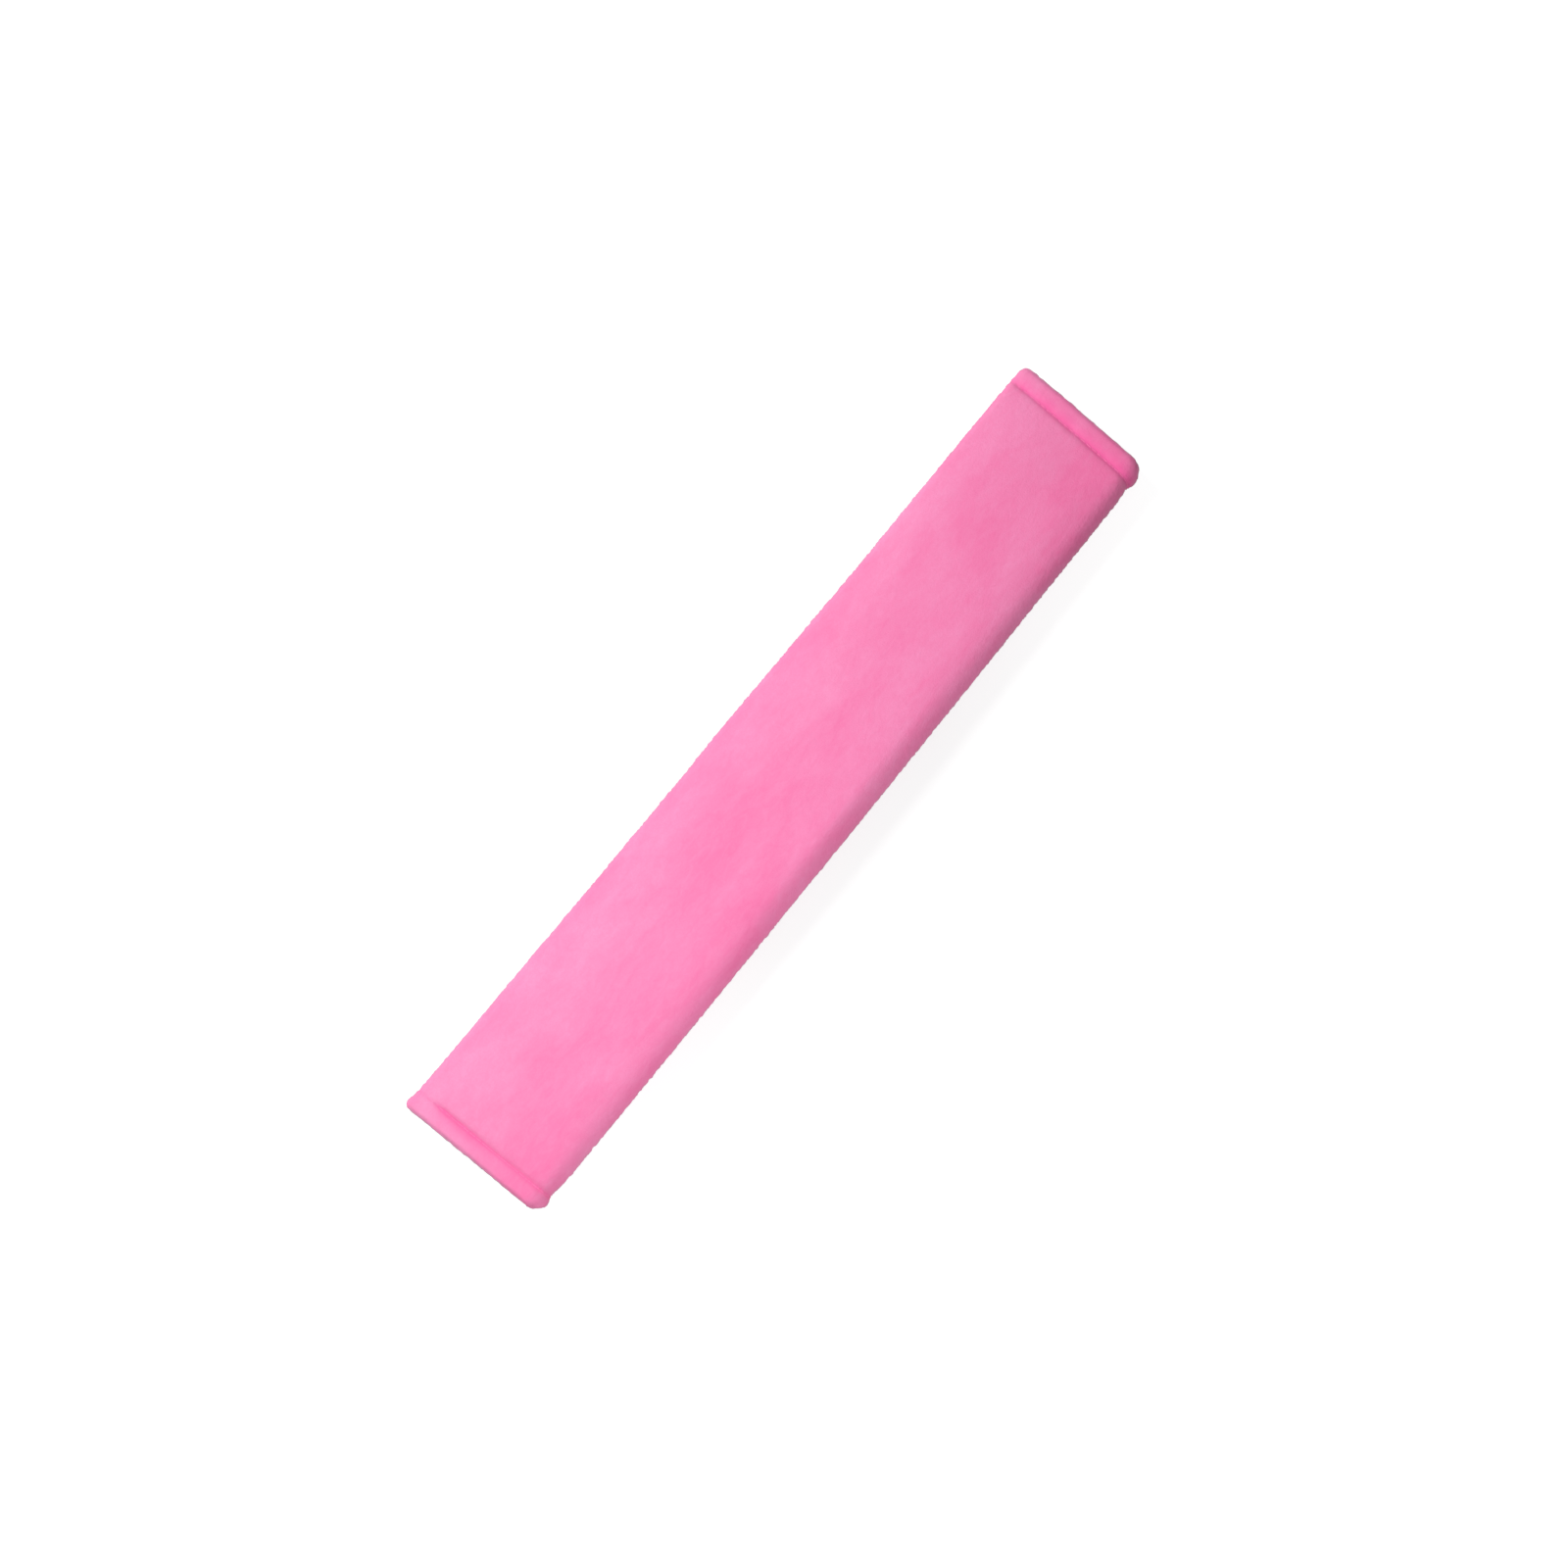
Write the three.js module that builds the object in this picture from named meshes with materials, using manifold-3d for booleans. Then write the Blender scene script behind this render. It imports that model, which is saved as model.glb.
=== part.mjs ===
// Seat belt shoulder pad: a long padded plush sheet, folded once along its length into a flat sleeve.
//
// The sleeve lies on its lower half. X runs along its length, Y from the fold (-Y) to the closing edge (+Y),
// and Z up. The origin is under its middle, on the surface it lies on. Sizes are in millimetres.
// Every layer follows the same folded line: a floor run, a half-round fold and a crowned top run. A place on
// a layer is given by how far round that line it is, and by its depth under the outside of the plush.

import * as THREE from "three";
import { mergeVertices } from "three/addons/utils/BufferGeometryUtils.js";
import Module from "manifold-3d";

// The folded pad as a whole
const padLength = 385; // from end to end, over the hems
const foldedWidth = 65.8; // from the fold to the closing edge, between the hems
const foldSpring = 3.6; // how much higher the fold stands than the closing edge

// The sewn layers, from the outside in
const plushThickness = 2.0; // the plush with its pile
const foamThickness = 1.8;
const liningThickness = 0.4;
const layerClearance = 0.3; // between one layer and the next

// The edges of the plush, where it is turned in round the foam
const edgeRound = 2.7; // how far in from an edge its rounding reaches
const cornerRadius = 3.6; // at the four free corners
const foldCornerPull = 3.0; // how far the hem is drawn in at the fold, which rounds the corners there
const foldCornerReach = 5.5; // how far from the fold that rounding reaches
const endSlant = 2.6; // how much further in the +X end and its stitching are at the fold
const slantReach = 30; // how far along the pad that slant is spread

// The hem at each end, and the row of stitching that makes it
const hemWidth = 9.3; // from the stitching to the end
const hemFlare = 0.7; // how far the hem stands out past the fold
const hemPuff = 0.4; // how far the hem stands up over the top run
const hemRise = 2.2; // how far past the stitching the hem takes to swell
const grooveDepth = 0.9; // that the stitching pulls into the plush
const grooveWidth = 1.5; // half the width of that pull
const liningGrooveDepth = 0.6; // that it pulls in on the inside
const dipDepth = 0.3; // of the soft dip in the padding before the stitching
const dipLength = 6.0; // how far that dip reaches
const hemTurnIn = 2.5; // how far past the stitching the turned-in plush reaches

// The hook and loop tapes that close the pad
const tapeWidth = 9.5;
const tapeSetback = 1.1; // from the closing edge to the tape
const tapeSelvedge = 1.0; // the plain border along each side of a tape
const tapeBacking = 0.5;
const hookHeight = 0.7; // over the backing
const loopHeight = 0.7; // over the backing
const tapeEndSetback = 1.5; // from the stitching to the tape's end

// What follows from these
const layerThickness = plushThickness + foamThickness + liningThickness + 2 * layerClearance;
const hookTapeThickness = tapeBacking + hookHeight;
const loopTapeThickness = tapeBacking + loopHeight;
const closingGap = hookTapeThickness + loopTapeThickness + 3 * layerClearance;
const foldRadius = layerThickness + (closingGap + foldSpring) / 2;
const closingEdgeY = (foldedWidth + hemFlare) / 2;
const foldCentreY = closingEdgeY - foldedWidth + foldRadius;
const runWidth = closingEdgeY - foldCentreY;
const crownRadius = (runWidth ** 2 + foldSpring ** 2) / (2 * foldSpring);
const crownAngle = Math.asin(runWidth / crownRadius);
const foldLength = Math.PI * foldRadius;
const crownLength = crownRadius * crownAngle;
const girth = runWidth + foldLength + crownLength;
const stitchX = padLength / 2 - hemWidth;
const pocketX = stitchX - hemTurnIn;

// How finely the curves are divided
const foldSteps = 18;
const crownSteps = 7;
const edgeSteps = 6;
const bodySteps = 6;

// The point at a depth under the outside of the plush, a distance round the folded line from the lower
// closing edge.
function foldedPoint(along, depth) {
  if (along <= runWidth) return [closingEdgeY - along, depth];
  if (along <= runWidth + foldLength) {
    const angle = (along - runWidth) / foldRadius;
    const radius = foldRadius - depth;
    return [foldCentreY - radius * Math.sin(angle), foldRadius - radius * Math.cos(angle)];
  }
  const angle = (along - runWidth - foldLength) / crownRadius;
  const radius = crownRadius - depth;
  return [foldCentreY + radius * Math.sin(angle), 2 * foldRadius - crownRadius + radius * Math.cos(angle)];
}

// Places round the folded line between two distances, dense enough for its curves.
function stationsAround(from, to) {
  const foldEnd = runWidth + foldLength;
  const places = [runWidth / 2];
  for (let k = 0; k <= foldSteps; k++) places.push(runWidth + (foldLength * k) / foldSteps);
  for (let k = 1; k < crownSteps; k++) places.push(foldEnd + (crownLength * k) / crownSteps);
  const margin = 0.5;
  return [from, ...places.filter((p) => p > from + margin && p < to - margin), to];
}

// Adds the rounding of an edge to a row of places: close together at the edge, then wider, up to its reach.
function withRoundedEnds(places, reach) {
  const first = places[0];
  const last = places[places.length - 1];
  const steps = Array.from({ length: edgeSteps }, (_, k) => {
    return reach * (1 - Math.cos((Math.PI / 2) * ((k + 1) / edgeSteps)));
  });
  const inner = places.filter((p) => p > first + reach + 0.5 && p < last - reach - 0.5);
  return [first, ...steps.map((d) => first + d), ...inner, ...steps.map((d) => last - d).reverse(), last];
}

// A closed sheet between two depths, over a grid of places along the pad and round the folded line.
// placeX moves a grid point along the pad; the depths may change from point to point.
// Where both faces meet at the rim, roundedRim leaves out the walls between them.
function sheetGeometry({ lengthwise, around, placeX, outerDepth, innerDepth, roundedRim = false }) {
  const placed = placeX ?? ((x) => x);
  const columns = lengthwise.length;
  const rows = around.length;
  const positions = [];
  for (const depthAt of [outerDepth, innerDepth]) {
    for (const x of lengthwise) {
      for (const along of around) {
        const [y, z] = foldedPoint(along, depthAt(x, along));
        positions.push(placed(x, along), y, z);
      }
    }
  }
  const outer = (i, j) => i * rows + j;
  const inner = (i, j) => columns * rows + i * rows + j;
  const triangles = [];
  // The corners of a quad go clockwise as seen from outside.
  const quad = (a, b, c, d) => triangles.push(a, c, b, a, d, c);
  for (let i = 0; i + 1 < columns; i++) {
    for (let j = 0; j + 1 < rows; j++) {
      quad(outer(i, j), outer(i, j + 1), outer(i + 1, j + 1), outer(i + 1, j));
      quad(inner(i, j), inner(i + 1, j), inner(i + 1, j + 1), inner(i, j + 1));
    }
  }
  if (!roundedRim) {
    for (let i = 0; i + 1 < columns; i++) {
      quad(outer(i, 0), outer(i + 1, 0), inner(i + 1, 0), inner(i, 0));
      quad(outer(i + 1, rows - 1), outer(i, rows - 1), inner(i, rows - 1), inner(i + 1, rows - 1));
    }
    const end = columns - 1;
    for (let j = 0; j + 1 < rows; j++) {
      quad(outer(0, j + 1), outer(0, j), inner(0, j), inner(0, j + 1));
      quad(outer(end, j), outer(end, j + 1), inner(end, j + 1), inner(end, j));
    }
  }
  const geometry = new THREE.BufferGeometry();
  geometry.setAttribute("position", new THREE.Float32BufferAttribute(positions, 3));
  geometry.setIndex(triangles);
  return mergeVertices(geometry, 1e-4);
}

const wasm = await Module();
wasm.setup();

// A geometry as a solid that can be joined and cut, and back again.
function toSolid(geometry) {
  const mesh = new wasm.Mesh({
    numProp: 3,
    vertProperties: geometry.getAttribute("position").array,
    triVerts: new Uint32Array(geometry.index.array),
  });
  return new wasm.Manifold(mesh);
}

function toGeometry(solid) {
  const mesh = solid.getMesh();
  const geometry = new THREE.BufferGeometry();
  geometry.setAttribute("position", new THREE.Float32BufferAttribute(mesh.vertProperties, mesh.numProp));
  geometry.setIndex(new THREE.Uint32BufferAttribute(mesh.triVerts, 1));
  geometry.computeVertexNormals();
  return geometry;
}

// A bump of height 1 at 0 that fades to nothing at about twice its width.
const bump = (distance, width) => Math.exp(-((distance / width) ** 2));

// From 0 to 1 over a width, with level ends.
const easeIn = (distance, width) => {
  const share = Math.min(1, Math.max(0, distance / width));
  return share * share * (3 - 2 * share);
};

// How far the fold has turned, from 0 on the floor run to 1 at the top run.
const foldShare = (along) => Math.min(1, Math.max(0, (along - runWidth) / foldLength));

// How full the sheet is at a distance from its edge: 0 at the edge and 1 past the rounding.
function fullness(distance) {
  const left = 1 - Math.min(1, Math.max(0, distance / edgeRound));
  return Math.sqrt(Math.max(0, 1 - left * left));
}

const distanceToClosingEdge = (along) => Math.min(along, girth - along);
const distanceToEnd = (x) => padLength / 2 - Math.abs(x);

// How far the corners draw the end of the hem in: the free ones, and the ones at the fold.
function cornerDrawnIn(along) {
  const fromEdge = cornerRadius - Math.min(cornerRadius, distanceToClosingEdge(along));
  const freeCorner = cornerRadius - Math.sqrt(cornerRadius ** 2 - fromEdge ** 2);
  const [y] = foldedPoint(along, 0);
  const nearFold = Math.max(0, 1 - (foldedWidth - closingEdgeY + y) / foldCornerReach);
  return freeCorner + foldCornerPull * nearFold ** 2;
}

// How far the slant moves the stitching of the +X end in. It starts past the free corner.
function slantAt(along) {
  const [y] = foldedPoint(along, 0);
  return (endSlant * Math.max(0, closingEdgeY - cornerRadius - y)) / foldedWidth;
}

// A place along the pad, moved with the slant of its end and drawn in with the corners of its hem.
function hemmedX(x, along) {
  const pastStitching = Math.abs(x) - stitchX;
  const slant = x > 0 ? slantAt(along) * easeIn(pastStitching + slantReach, slantReach) : 0;
  const corners = cornerDrawnIn(along) * (Math.max(0, pastStitching) / hemWidth);
  return x - Math.sign(x) * (slant + corners);
}

// How far the swollen hem stands out: not at all on the floor run, most at the fold, a little on top.
function hemSwelling(x, along) {
  const turned = foldShare(along);
  const outwards = hemFlare * Math.sin(Math.PI * turned) ** 2 + hemPuff * easeIn(turned - 0.5, 0.5);
  return outwards * easeIn(Math.abs(x) - stitchX, hemRise);
}

// How far the stitching pulls the outside in: a narrow groove, and a soft dip on the padded side of it.
function stitchPull(x) {
  const past = Math.abs(x) - stitchX;
  const dip = past < 0 ? dipDepth * bump(past, dipLength / 2) : dipDepth * bump(past, grooveWidth);
  return grooveDepth * bump(past, grooveWidth) + dip;
}

// The plush cover: the whole outside, turned in round its edges and ends, with a pocket for foam and lining.
function plushCover() {
  const halfLengthwise = [];
  for (let k = 0; k <= bodySteps; k++) halfLengthwise.push(((stitchX - dipLength) * k) / bodySteps);
  const besideStitching = [-0.5 * dipLength, -1.2 * grooveWidth, -0.6 * grooveWidth, 0, 0.6 * grooveWidth];
  for (const offset of besideStitching) halfLengthwise.push(stitchX + offset);
  halfLengthwise.push(stitchX + hemRise);
  const mirrored = halfLengthwise.slice(1).map((x) => -x).reverse();
  const fromEndToEnd = [-padLength / 2, ...mirrored, ...halfLengthwise, padLength / 2];
  const lengthwise = withRoundedEnds(fromEndToEnd, edgeRound);
  const around = withRoundedEnds(stationsAround(0, girth), Math.max(edgeRound, cornerRadius));
  const full = (x, along) => fullness(distanceToEnd(x)) * fullness(distanceToClosingEdge(along));
  const middle = layerThickness / 2;
  const outside = sheetGeometry({
    lengthwise,
    around,
    placeX: hemmedX,
    outerDepth: (x, along) => {
      const rise = middle + hemSwelling(x, along) - stitchPull(x);
      return middle - rise * full(x, along);
    },
    innerDepth: (x, along) => {
      const groove = liningGrooveDepth * bump(Math.abs(x) - stitchX, grooveWidth);
      return middle + (middle - groove) * full(x, along);
    },
    roundedRim: true,
  });
  const pocket = sheetGeometry({
    lengthwise: [-pocketX, pocketX],
    around: stationsAround(plushThickness, girth - plushThickness),
    outerDepth: () => plushThickness,
    innerDepth: () => layerThickness + layerClearance,
  });
  return toGeometry(toSolid(outside).subtract(toSolid(pocket)));
}

// A flat-ended layer inside the pocket, between two depths.
function pocketLayer(outerDepth, thickness) {
  const inset = plushThickness + layerClearance;
  const end = pocketX - layerClearance;
  return sheetGeometry({
    lengthwise: [-end, end],
    around: stationsAround(inset, girth - inset),
    outerDepth: () => outerDepth,
    innerDepth: () => outerDepth + thickness,
  });
}

// A closing tape on the inside, near the edge: a thin backing with a raised field between two plain borders.
function closingTape(start, fieldHeight) {
  const end = stitchX - tapeEndSetback;
  const top = layerThickness + layerClearance;
  const strip = (inset, from, to) =>
    sheetGeometry({
      lengthwise: [-end, end],
      around: [start + inset, start + tapeWidth - inset],
      outerDepth: () => from,
      innerDepth: () => to,
    });
  const backing = strip(0, top, top + tapeBacking);
  const field = strip(tapeSelvedge, top + tapeBacking / 2, top + tapeBacking + fieldHeight);
  return toGeometry(toSolid(backing).add(toSolid(field)));
}

const plushMaterial = new THREE.MeshStandardMaterial({ color: 0xfb8dc3, roughness: 0.95, metalness: 0 });
const foamMaterial = new THREE.MeshStandardMaterial({ color: 0xf3eee2, roughness: 1, metalness: 0 });
const liningMaterial = new THREE.MeshStandardMaterial({ color: 0xf07fb2, roughness: 0.85, metalness: 0 });
const hookMaterial = new THREE.MeshStandardMaterial({ color: 0xee86b4, roughness: 0.6, metalness: 0 });
const loopMaterial = new THREE.MeshStandardMaterial({ color: 0xf291bc, roughness: 0.9, metalness: 0 });

const foamDepth = plushThickness + layerClearance;
const liningDepth = foamDepth + foamThickness + layerClearance;

const pad = new THREE.Group();
const addPiece = (name, geometry, material) => {
  const piece = new THREE.Mesh(geometry, material);
  piece.name = name;
  pad.add(piece);
};
addPiece("plush_cover", plushCover(), plushMaterial);
addPiece("foam_padding", pocketLayer(foamDepth, foamThickness), foamMaterial);
addPiece("inner_lining", pocketLayer(liningDepth, liningThickness), liningMaterial);
addPiece("hook_tape", closingTape(tapeSetback, hookHeight), hookMaterial);
addPiece("loop_tape", closingTape(girth - tapeSetback - tapeWidth, loopHeight), loopMaterial);

export default pad;
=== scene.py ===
import math

import bpy
import numpy as np
from mathutils import Matrix, Vector


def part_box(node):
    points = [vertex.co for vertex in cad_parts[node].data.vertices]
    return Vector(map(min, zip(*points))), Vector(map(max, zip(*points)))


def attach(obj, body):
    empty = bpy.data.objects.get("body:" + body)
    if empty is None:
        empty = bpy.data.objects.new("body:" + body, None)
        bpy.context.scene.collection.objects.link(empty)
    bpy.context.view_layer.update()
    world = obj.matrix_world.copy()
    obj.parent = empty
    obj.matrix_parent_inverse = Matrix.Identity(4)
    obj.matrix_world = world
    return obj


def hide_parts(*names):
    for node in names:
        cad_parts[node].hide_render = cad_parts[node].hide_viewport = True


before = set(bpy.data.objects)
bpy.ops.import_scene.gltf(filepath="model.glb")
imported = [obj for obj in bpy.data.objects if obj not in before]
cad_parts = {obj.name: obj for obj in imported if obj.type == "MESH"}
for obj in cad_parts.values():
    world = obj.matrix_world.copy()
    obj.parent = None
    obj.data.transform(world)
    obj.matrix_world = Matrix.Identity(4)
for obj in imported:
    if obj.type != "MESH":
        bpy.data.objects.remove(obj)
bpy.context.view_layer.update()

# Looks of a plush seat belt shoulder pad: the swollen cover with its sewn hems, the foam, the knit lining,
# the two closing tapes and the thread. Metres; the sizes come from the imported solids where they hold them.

MM = 0.001

# The folded line that every layer follows

COVER_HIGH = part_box("plush_cover")[1]
FOAM_LOW, FOAM_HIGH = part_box("foam_padding")
LINING_LOW, LINING_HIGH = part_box("inner_lining")
HOOK_LOW, HOOK_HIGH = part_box("hook_tape")

CLEAR = 0.3 * MM  # between one layer and the next
SPRING = 3.6 * MM  # how much higher the fold stands than the closing edge
HALF = COVER_HIGH.x  # half the length
EDGE_Y = COVER_HIGH.y  # the closing edge
FOAM_DEPTH = FOAM_LOW.z
LINING_DEPTH = LINING_LOW.z
LAYER = HOOK_LOW.z - CLEAR  # the whole thickness of one side
TOP_Z = FOAM_HIGH.z + FOAM_LOW.z
FOLD_R = TOP_Z / 2
FOLD_Y = FOAM_LOW.y - FOAM_LOW.z  # the outside of the fold
FOLD_CY = FOLD_Y + FOLD_R
RUN = EDGE_Y - FOLD_CY  # the straight part of one side
FOLD_LEN = math.pi * FOLD_R
CROWN_R = (RUN**2 + SPRING**2) / (2 * SPRING)
GIRTH = RUN + FOLD_LEN + CROWN_R * math.asin(RUN / CROWN_R)  # from the lower edge round to the upper one

HEM = 9.3 * MM  # from the stitching to the end
STITCH = 3.0 * MM  # the length of one stitch
STITCH_X = HALF - HEM
POCKET_X = FOAM_HIGH.x + CLEAR
EDGE_ROUND = 2.7 * MM
PLUSH = FOAM_DEPTH - CLEAR
TAPE_X = HOOK_HIGH.x
TAPE_WIDTH = HOOK_HIGH.y - HOOK_LOW.y
TAPE_BACKING = 0.5 * MM
HOOK_START = EDGE_Y - HOOK_HIGH.y  # from the lower edge to the hook tape
LOOP_START = GIRTH - HOOK_START - TAPE_WIDTH


def folded(along, depth):
    """Y and Z of a point, from its distance round the folded line and its depth under the outside."""
    along, depth = np.broadcast_arrays(np.asarray(along, float), np.asarray(depth, float))
    turn = (along - RUN) / FOLD_R
    crown = (along - RUN - FOLD_LEN) / CROWN_R
    low = along <= RUN
    high = along > RUN + FOLD_LEN
    y = np.where(low, EDGE_Y - along, FOLD_CY - (FOLD_R - depth) * np.sin(turn))
    z = np.where(low, depth, FOLD_R - (FOLD_R - depth) * np.cos(turn))
    y = np.where(high, FOLD_CY + (CROWN_R - depth) * np.sin(crown), y)
    z = np.where(high, TOP_Z - CROWN_R + (CROWN_R - depth) * np.cos(crown), z)
    return y, z


def edge_distance(along):
    return np.minimum(along, GIRTH - along)


def fold_share(along):
    """How far round the fold a place is: 0 on the lower side, 1 on the upper side."""
    return np.clip((along - RUN) / FOLD_LEN, 0, 1)


def past_stitch(x):
    """How far x is past the hem's stitching, towards the end; negative over the padding."""
    return np.abs(x) - STITCH_X


def by_end(x, pair):
    """The first of the pair for places nearer the -X end, and the second for the others."""
    return np.where(x < 0, pair[0], pair[1])


# Soft steps, humps and noise

HASH_START = 2654435761
HASH_SHIFT = 97
HASH_PRIMES = (73856093, 19349663, 83492791)
HASH_MULTIPLIER = 6364136223846793005
ENDS_APART = 7.0  # far enough that the noise of one end says nothing of the other's


def ease(share):
    """From 0 to 1 with level ends."""
    share = np.clip(share, 0, 1)
    return share * share * (3 - 2 * share)


def bump(distance, width):
    return np.exp(-((distance / width) ** 2))


def lattice(cells, seed):
    """A repeatable random number from -1 to 1 for each whole-number cell."""
    key = np.full(cells.shape[:-1], seed * HASH_START + HASH_SHIFT, np.uint64)
    for k, prime in zip(range(cells.shape[-1]), HASH_PRIMES):
        key = (key ^ (cells[..., k].astype(np.uint64) * np.uint64(prime))) * np.uint64(HASH_MULTIPLIER)
        key ^= key >> np.uint64(29)
    return (key >> np.uint64(40)).astype(float) / 2**23 - 1


def noise(places, size, seed):
    """Smooth noise from -1 to 1, in lumps of about that size. The last axis of places is the coordinates."""
    scaled = places / size
    base = np.floor(scaled).astype(np.int64)
    part = scaled - base
    part = part * part * (3 - 2 * part)
    total = 0
    for corner in np.ndindex(*(2,) * places.shape[-1]):
        step = np.array(corner)
        total = total + np.prod(np.where(step, part, 1 - part), axis=-1) * lattice(base + step, seed)
    return total


def noise2(x, along, size, seed, stretch=1.0):
    return noise(np.stack(np.broadcast_arrays(x / stretch, along), -1), size, seed)


def end_noise(x, along, size, seed):
    """Noise that is the same all along the hem, and differs between the two ends."""
    return noise2(np.sign(x) * ENDS_APART, along, size, seed)


# The outline of the cover, whose two ends differ a little. Each pair is (the -X end, the +X end).

CORNER = (2.6 * MM, 4.8 * MM)  # radius of the free corners
PULL = (1.8 * MM, 1.3 * MM)  # how far the rounding of the hem's corner at the fold draws it in
PULL_REACH = 5.4 * MM  # how far from the fold that reaches
SLANT = (0.2 * MM, 3.0 * MM)  # how much further in the stitching and the end are at the fold side
SLANT_REACH = 30 * MM  # how far along the pad that is spread
HEM_LESS = (1.7 * MM, 0.0)  # how much narrower than the solid's the hem is
END_ROUND = (2.7 * MM, 3.4 * MM)  # how far in from the end its rounding reaches
END_ROUND_AT_FOLD = (3.4 * MM, 2.2 * MM)  # how much further it reaches at the fold
WANDER = 0.25 * MM  # how far the end strays from its line
WANDER_LUMPS = 13 * MM
HEM_SPREAD = 0.8 * MM  # how far the hem of the -X end spreads past the closing edge
SWAY = 0.3 * MM  # how far the closing edge strays from its line
SWAY_LUMPS = 38 * MM
SWAY_FADE = 20 * MM  # how far from the stitching it takes to stray so far
SIDE_REACH = 9 * MM  # how far from the closing edge its bow and its straying reach
EDGE_BOW = 0.35 * MM  # how far the closing edge bows in at the middle
EDGE_LEAN = 0.3 * MM  # how much further in it lies at the +X end than at the -X end
FOLD_BOW = 0.8 * MM  # how much further out the fold lies at the middle than at the ends
FOLD_IN = 0.5 * MM  # how far in it lies at the ends


def full(distance, reach):
    """How full the padding is at a distance from an edge: 0 at the edge, 1 past the reach of its rounding."""
    left = 1 - np.clip(distance / reach, 0, 1)
    return np.sqrt(np.maximum(0, 1 - left * left))


def fullness(x, along):
    end_reach = by_end(x, END_ROUND) + by_end(x, END_ROUND_AT_FOLD) * np.sin(np.pi * fold_share(along))
    return full(HALF - np.abs(x), end_reach) * full(edge_distance(along), EDGE_ROUND)


def slanted(x, y):
    """How far in from its place on the solid the stitching is, at this place across the pad."""
    return by_end(x, SLANT) * np.clip((EDGE_Y - y) / (EDGE_Y - FOLD_Y), 0, 1) - by_end(x, HEM_LESS)


def drawn_in(x, along):
    """How far a place is moved in from its end, by the slant of the stitching and the hem's round corners."""
    corner = by_end(x, CORNER)
    from_edge = corner - np.minimum(corner, edge_distance(along))
    rounding = corner - np.sqrt(np.maximum(0, corner**2 - from_edge**2))
    y = folded(along, 0)[0]
    wander = WANDER * end_noise(x, along, WANDER_LUMPS, seed=3)
    near_fold = np.clip(1 - (y - FOLD_Y) / PULL_REACH, 0, 1)
    at_end = rounding + wander + by_end(x, HEM_LESS) + by_end(x, PULL) * (1 - np.sqrt(1 - near_fold**2))
    hem_share = np.maximum(0, past_stitch(x)) / HEM
    return slanted(x, y) * ease(1 + past_stitch(x) / SLANT_REACH) + hem_share * at_end


def moved_across(x, along):
    """How far a place is moved across the pad: the long sides bow and stray a little, and one hem spreads."""
    near_edge = bump(edge_distance(along), SIDE_REACH)
    spread = HEM_SPREAD * (x < 0) * ease(past_stitch(x) / HEM) * near_edge
    sway = SWAY * noise2(x, 0 * along, SWAY_LUMPS, seed=10) * near_edge * ease(-past_stitch(x) / SWAY_FADE)
    middle = 1 - (x / HALF) ** 2
    edge_bow = (EDGE_BOW * middle + EDGE_LEAN * ease(0.5 + 0.5 * x / HALF)) * near_edge
    fold_bow = (FOLD_BOW * middle - FOLD_IN) * np.sin(np.pi * fold_share(along))
    return spread + sway - (edge_bow + fold_bow)


# The relief of the cover: the swollen hems, the pull of their stitching, and slow dents

FLARE = (0.3 * MM, 0.9 * MM)  # how far the hem stands out past the fold
FLARE_REACH = 5 * MM  # how far past the stitching it takes to do so
FLARE_AT_STITCH = 0.35  # the share of that reach it already has at the stitching
PUFF = (0.4 * MM, 0.5 * MM)  # twice how far the hem stands up on the upper side
PUFF_REACH = 3.6 * MM  # how far past the stitching it takes to do so
PUFF_UNEVEN = 0.3
PUFF_LUMPS = 14 * MM
LOOSE_FROM = 6 * MM  # from the upper closing edge to where the -X end's stitching begins to hold
LOOSE_FADE = 7 * MM  # and from there to where it holds in full
LOOSE_SHARE = 0.85
HOLD_UNEVEN = 0.16
HOLD_LUMPS = 6 * MM
HOLD_BY_END = (1.3, 0.9)  # how hard the stitching of each end pulls
GROOVE = 0.3 * MM  # the least depth of the groove
GROOVE_WIDTH = 1.0 * MM
NEEDLE_PULL = 0.15 * MM  # how much deeper it gets once in each stitch
SHOULDER = 0.6 * MM  # the wider hollow that the groove lies in
SHOULDER_WIDTHS = (1.8 * MM, 2.8 * MM)  # over the padding, and over the hem
GROOVE_LOST_AT_FOLD = 0.85  # the share of both that is lost halfway round the fold
DIP = 0.25 * MM  # the soft dip on both sides of the stitching
DIP_WIDTHS = (5 * MM, 3 * MM)  # over the padding, and over the hem
DIP_MORE_AT_FOLD = 1.2  # how much deeper it is halfway round the fold, as a share of it
INNER_GROOVE = 0.6 * MM  # the same stitching seen from inside
INNER_GROOVE_WIDTH = 1.5 * MM
PUCKER = 0.06 * MM
PUCKER_LUMPS = (3.4 * MM, 2.1 * MM)
PUCKER_LEAN = 0.25  # how far round the fold they run for each step away from the stitching
PUCKER_WIDTHS = (6 * MM, 4 * MM)  # over the padding, and over the hem
SLOW_DENT = 0.09 * MM
SLOW_DENT_LUMPS = 26 * MM
SMALL_DENT = 0.03 * MM
SMALL_DENT_LUMPS = 9 * MM
SMALL_DENT_LEAN = 0.6


def beside(past, widths):
    """A hump over the stitching that is one width wide over the padding and another over the hem."""
    return np.where(past < 0, bump(past, widths[0]), bump(past, widths[1]))


def hem_swelling(x, along):
    past = past_stitch(x)
    turned = fold_share(along)
    outwards = by_end(x, FLARE) * np.sin(np.pi * turned) ** 2
    uneven = 1 + PUFF_UNEVEN * end_noise(x, along, PUFF_LUMPS, seed=4)
    upwards = by_end(x, PUFF) * uneven * ease(turned - 0.5)
    return outwards * ease(past / FLARE_REACH + FLARE_AT_STITCH) + upwards * ease(past / PUFF_REACH)


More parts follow.
